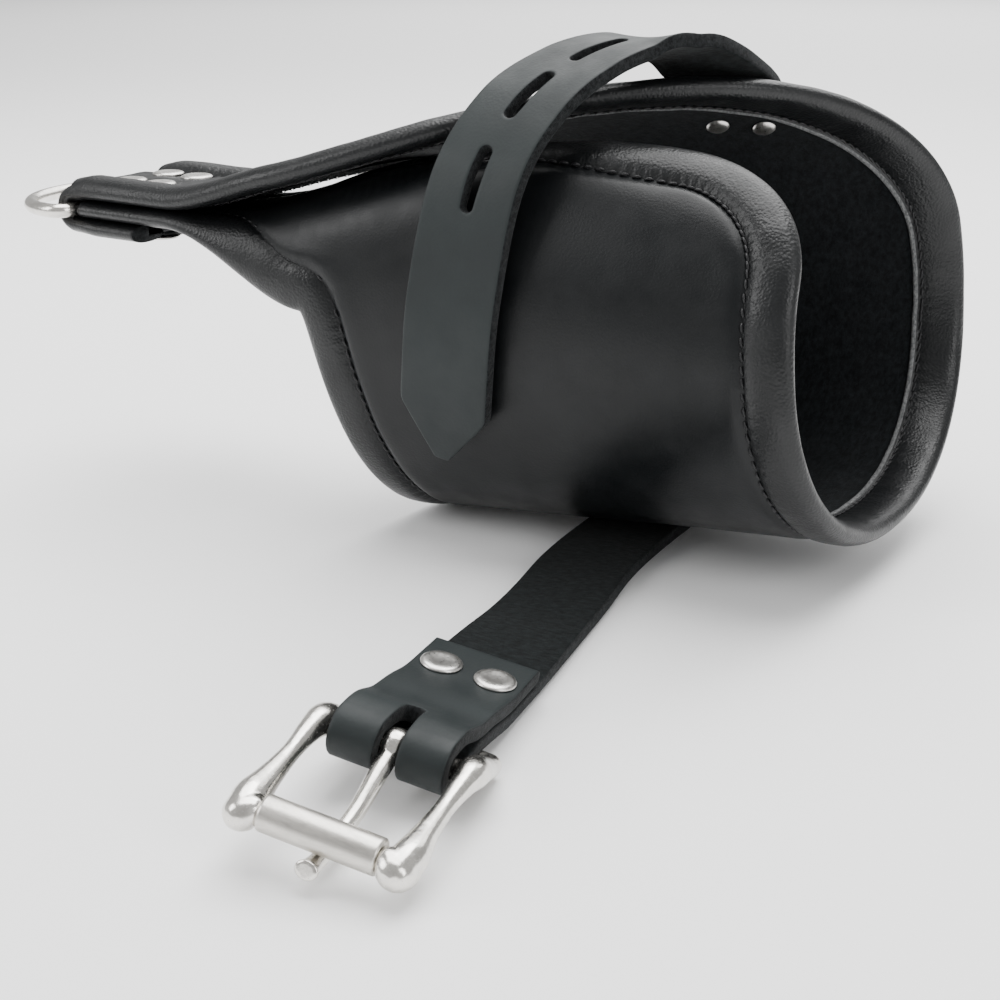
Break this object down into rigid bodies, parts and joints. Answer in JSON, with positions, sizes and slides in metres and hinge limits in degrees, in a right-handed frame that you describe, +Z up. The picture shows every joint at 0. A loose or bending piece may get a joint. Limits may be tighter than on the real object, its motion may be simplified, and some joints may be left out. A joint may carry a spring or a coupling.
{
  "type": "leather suspension cuff",
  "caption": "Padded leather cuff rolled into a tube, with bound edges, a riveted tail holding a D-ring, and a slotted closing strap with a roller buckle.",
  "frame": {"origin": "on the surface that the cuff lies on, under the middle of the closing strap where it passes below the tube", "axes": "+X along the tube towards its open rim, -X towards the tail's D-ring, -Y towards the buckle end of the strap, +Z up"},
  "size_m": [0.254, 0.2614, 0.1347],
  "materials": {
    "outer_shell": "smooth satin black leather",
    "foam_core": "soft closed-cell foam padding",
    "lining": "rough suede side",
    "edge_binding": "soft rolled leather, satin",
    "ring_fold": "smooth satin black leather",
    "tail_rivet_caps": "nickel plate",
    "tail_rivet_posts": "nickel plate",
    "strap_back": "matte bridle leather",
    "strap_rivet_caps": "nickel plate",
    "strap_rivet_posts": "nickel plate",
    "d_ring": "nickel plate",
    "strap_point_end": "matte bridle leather",
    "strap_buckle_end": "matte bridle leather, rough flesh side up",
    "fold_rivet_caps": "nickel plate",
    "fold_rivet_posts": "nickel plate",
    "buckle_frame": "nickel plate",
    "buckle_roller": "nickel plate",
    "buckle_tongue": "nickel plate"
  },
  "bodies": {
    "cuff": {"outer_shell": "outer_shell", "foam_core": "foam_core", "lining": "lining", "edge_binding": "edge_binding", "ring_fold": "ring_fold", "tail_rivet_caps": "tail_rivet_caps", "tail_rivet_posts": "tail_rivet_posts", "strap_back": "strap_back", "strap_rivet_caps": "strap_rivet_caps", "strap_rivet_posts": "strap_rivet_posts"},
    "ring": {"d_ring": "d_ring"},
    "point_strap": {"strap_point_end": "strap_point_end"},
    "buckle_strap": {"strap_buckle_end": "strap_buckle_end", "fold_rivet_caps": "fold_rivet_caps", "fold_rivet_posts": "fold_rivet_posts"},
    "buckle": {"buckle_frame": "buckle_frame"},
    "roller": {"buckle_roller": "buckle_roller"},
    "tongue": {"buckle_tongue": "buckle_tongue"}
  },
  "joints": [
    {"name": "ring_swing", "type": "hinge", "parent": "cuff", "child": "ring", "pos_m": [-0.15614, -0.023, 0.08285], "axis": [0, 1, 0], "range_deg": [-105, 105]},
    {"name": "point_strap_lift", "type": "hinge", "parent": "cuff", "child": "point_strap", "pos_m": [0.01062, 0.02758, 0.12182], "axis": [-0.9547, -0.0087, -0.2975], "range_deg": [0, 75]},
    {"name": "buckle_strap_lift", "type": "hinge", "parent": "cuff", "child": "buckle_strap", "pos_m": [0.0075, -0.044, 0.00175], "axis": [-0.9816, -0.1908, 0], "range_deg": [-40, 75]},
    {"name": "buckle_pitch", "type": "hinge", "parent": "buckle_strap", "child": "buckle", "pos_m": [0.0272, -0.13797, 0.01119], "axis": [-0.9695, -0.1885, 0.1564], "range_deg": [0, 40]},
    {"name": "roller_spin", "type": "hinge", "parent": "buckle", "child": "roller", "pos_m": [0.03243, -0.16649, 0.00921], "axis": [0.9695, 0.1885, -0.1564], "continuous": true},
    {"name": "tongue_swing", "type": "hinge", "parent": "buckle", "child": "tongue", "pos_m": [0.0272, -0.13797, 0.01119], "axis": [0.9695, 0.1885, -0.1564], "range_deg": [0, 110]}
  ]
}
